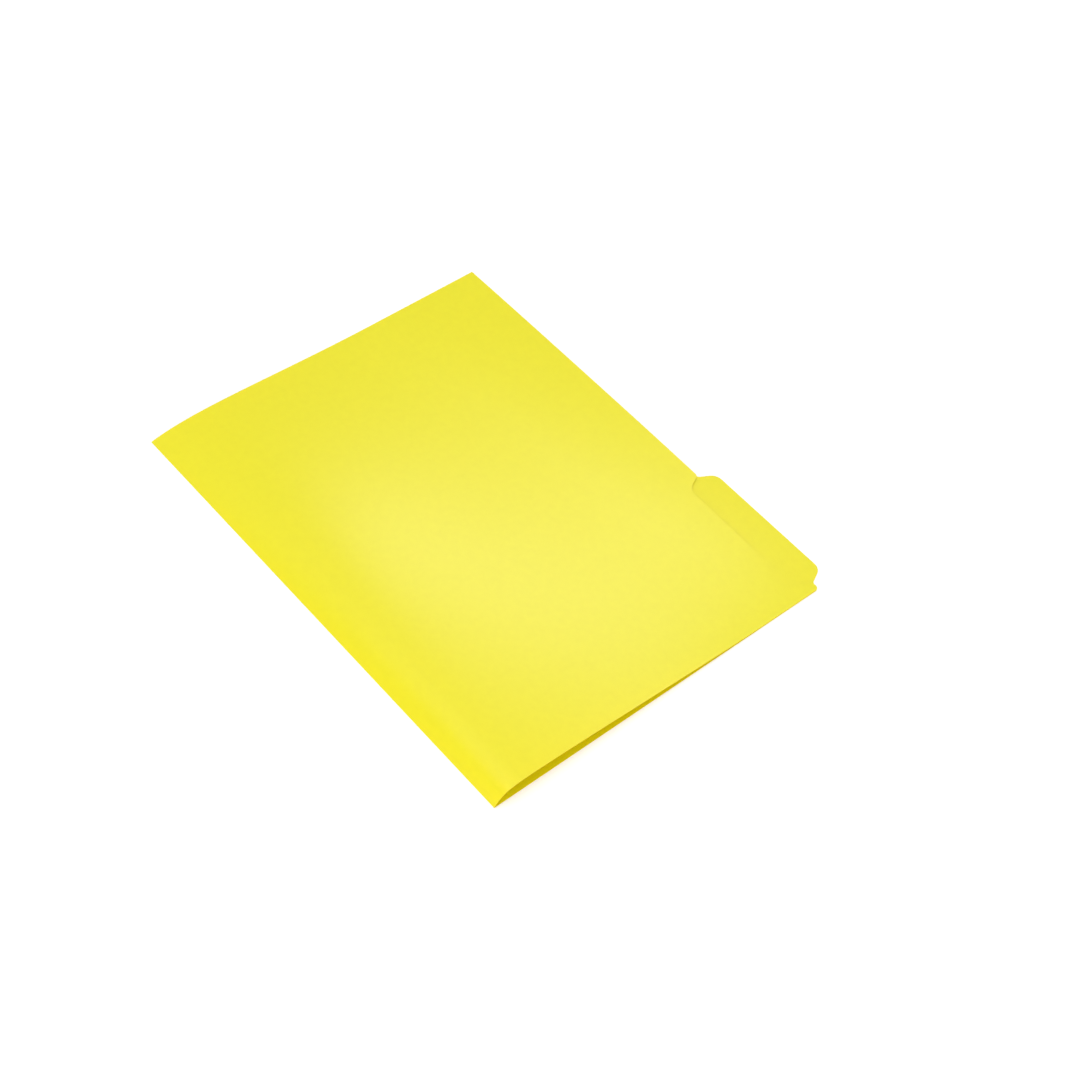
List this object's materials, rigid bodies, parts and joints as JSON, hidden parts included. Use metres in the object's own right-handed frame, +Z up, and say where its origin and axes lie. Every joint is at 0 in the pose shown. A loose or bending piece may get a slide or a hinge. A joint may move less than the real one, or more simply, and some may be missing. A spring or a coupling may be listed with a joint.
{
  "type": "manila folder",
  "caption": "Letter-size card file folder with an index tab at the right, an undercut cover and a scored spine; it opens flat about the fold.",
  "frame": {"origin": "centre of the closed folder's rectangle, tab included, on the underside of the back leaf", "axes": "+X along the fold towards the tab's end, +Y from the fold to the tab, +Z up through the cover"},
  "size_m": [0.2984, 0.2413, 0.0066],
  "materials": {
    "card": "smooth uncoated card, satin"
  },
  "bodies": {
    "back_leaf": {"back_leaf": "card"},
    "spine_strip_1": {"spine_strip_1": "card"},
    "spine_strip_2": {"spine_strip_2": "card"},
    "spine_strip_3": {"spine_strip_3": "card"},
    "front_leaf": {"front_leaf": "card"}
  },
  "joints": [
    {"name": "main_fold", "type": "hinge", "parent": "back_leaf", "child": "spine_strip_1", "pos_m": [0, -0.12037, 0.00028], "axis": [1, 0, 0], "range_deg": [0, 151]},
    {"name": "score_1", "type": "hinge", "parent": "spine_strip_1", "child": "spine_strip_2", "pos_m": [0, -0.11482, 0.00336], "axis": [1, 0, 0], "range_deg": [0, 10.2]},
    {"name": "score_2", "type": "hinge", "parent": "spine_strip_2", "child": "spine_strip_3", "pos_m": [0, -0.1088, 0.0054], "axis": [1, 0, 0], "range_deg": [0, 10.2]},
    {"name": "score_3", "type": "hinge", "parent": "spine_strip_3", "child": "front_leaf", "pos_m": [0, -0.10253, 0.00635], "axis": [1, 0, 0], "range_deg": [0, 10.2]}
  ]
}
